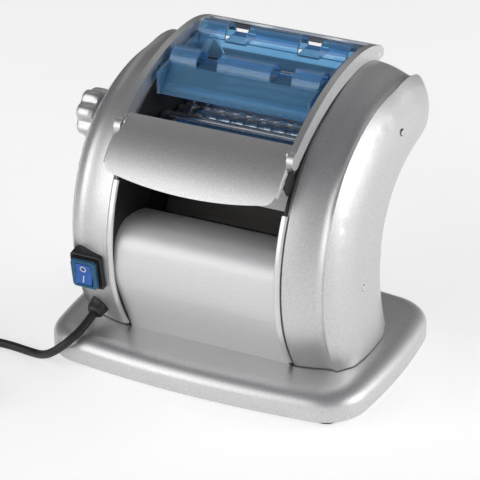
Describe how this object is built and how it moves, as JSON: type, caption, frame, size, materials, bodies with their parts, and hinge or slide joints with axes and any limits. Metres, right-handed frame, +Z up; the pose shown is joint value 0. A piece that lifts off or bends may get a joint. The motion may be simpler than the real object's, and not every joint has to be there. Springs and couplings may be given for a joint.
{
  "type": "electric pasta maker",
  "caption": "Motor-driven kitchen machine that rolls dough into sheets and cuts noodles, with a hinged clear guard, front chute and thickness knob.",
  "frame": {"origin": "on the table under the middle of the machine, without its cord", "axes": "+Z up, -Y the front where the pasta comes out, +X the side away from the switch"},
  "size_m": [0.459, 0.3469, 0.2725],
  "materials": {
    "painted_silver": "fine metallic silver-grey paint, satin",
    "satin_steel": "satin brushed stainless sheet",
    "roller_steel": "ground and polished steel",
    "satin_chrome": "satin chrome plating",
    "clear_blue": "clear blue moulding",
    "black_plastic": "fine-textured black plastic",
    "blue_plastic": "glossy dark blue plastic",
    "black_rubber": "matt black rubber",
    "motor_steel": "plain motor body"
  },
  "bodies": {
    "body": {"base_shell": "painted_silver", "bottom_plate": "satin_steel", "foot_front_left": "black_rubber", "foot_front_right": "black_rubber", "foot_rear_left": "black_rubber", "foot_rear_right": "black_rubber", "housing_left": "painted_silver", "housing_right": "painted_silver", "side_frame_left": "satin_steel", "side_frame_right": "satin_steel", "chute": "satin_steel", "exit_guide": "satin_steel", "rear_slide": "satin_steel", "rear_cover": "satin_steel", "scrapers": "satin_steel", "tie_rods": "satin_steel", "motor": "motor_steel", "gear_case": "black_plastic", "hinge_bracket_left": "satin_steel", "hinge_bracket_right": "satin_steel", "switch_bezel": "black_plastic", "switch_collar": "blue_plastic", "cord_gland": "black_rubber", "power_cord": "black_rubber", "cord_coil": "black_rubber", "cord_tie": "black_plastic", "power_plug": "black_plastic"},
    "adjuster": {"eccentric_left": "roller_steel", "eccentric_right": "roller_steel", "bearing_left": "roller_steel", "bearing_right": "roller_steel", "knob_shaft": "roller_steel", "knob": "satin_chrome"},
    "sheet_front": {"sheet_roller_front": "roller_steel"},
    "sheet_rear": {"sheet_roller_rear": "roller_steel"},
    "wide_front": {"wide_cutter_front": "roller_steel"},
    "wide_rear": {"wide_cutter_rear": "roller_steel"},
    "fine_front": {"fine_cutter_front": "roller_steel"},
    "fine_rear": {"fine_cutter_rear": "roller_steel"},
    "guard": {"guard_arm_left": "painted_silver", "guard_arm_right": "painted_silver", "guard_crossbar": "painted_silver", "feed_guard": "clear_blue"},
    "flap": {"flap": "painted_silver"},
    "rocker": {"rocker": "blue_plastic"}
  },
  "joints": [
    {"name": "thickness_knob", "type": "hinge", "parent": "body", "child": "adjuster", "pos_m": [0, -0.00905, 0.196], "axis": [1, 0, 0], "range_deg": [0, 135]},
    {"name": "sheet_front_spin", "type": "hinge", "parent": "body", "child": "sheet_front", "pos_m": [0, -0.04025, 0.196], "axis": [1, 0, 0], "continuous": true},
    {"name": "sheet_rear_spin", "type": "hinge", "parent": "adjuster", "child": "sheet_rear", "pos_m": [0, -0.00805, 0.196], "axis": [1, 0, 0], "continuous": true},
    {"name": "wide_front_spin", "type": "hinge", "parent": "body", "child": "wide_front", "pos_m": [0, 0.02275, 0.196], "axis": [1, 0, 0], "continuous": true},
    {"name": "wide_rear_spin", "type": "hinge", "parent": "body", "child": "wide_rear", "pos_m": [0, 0.04275, 0.196], "axis": [1, 0, 0], "continuous": true},
    {"name": "fine_front_spin", "type": "hinge", "parent": "body", "child": "fine_front", "pos_m": [0, 0.07275, 0.196], "axis": [1, 0, 0], "continuous": true},
    {"name": "fine_rear_spin", "type": "hinge", "parent": "body", "child": "fine_rear", "pos_m": [0, 0.09275, 0.196], "axis": [1, 0, 0], "continuous": true},
    {"name": "guard_hinge", "type": "hinge", "parent": "body", "child": "guard", "pos_m": [0, 0.09275, 0.254], "axis": [-1, 0, 0], "range_deg": [0, 70]},
    {"name": "flap_hinge", "type": "hinge", "parent": "guard", "child": "flap", "pos_m": [0, -0.07425, 0.2275], "axis": [-1, 0, 0], "range_deg": [0, 40]},
    {"name": "power_rocker", "type": "hinge", "parent": "body", "child": "rocker", "pos_m": [-0.101, -0.09921, 0.09507], "axis": [1, 0, 0], "range_deg": [0, 14]}
  ],
  "couplings": [
    {"joint": "sheet_rear_spin", "follows": "sheet_front_spin", "ratio": -1},
    {"joint": "wide_front_spin", "follows": "sheet_front_spin", "ratio": 1},
    {"joint": "wide_rear_spin", "follows": "sheet_front_spin", "ratio": -1},
    {"joint": "fine_front_spin", "follows": "sheet_front_spin", "ratio": 1},
    {"joint": "fine_rear_spin", "follows": "sheet_front_spin", "ratio": -1}
  ]
}
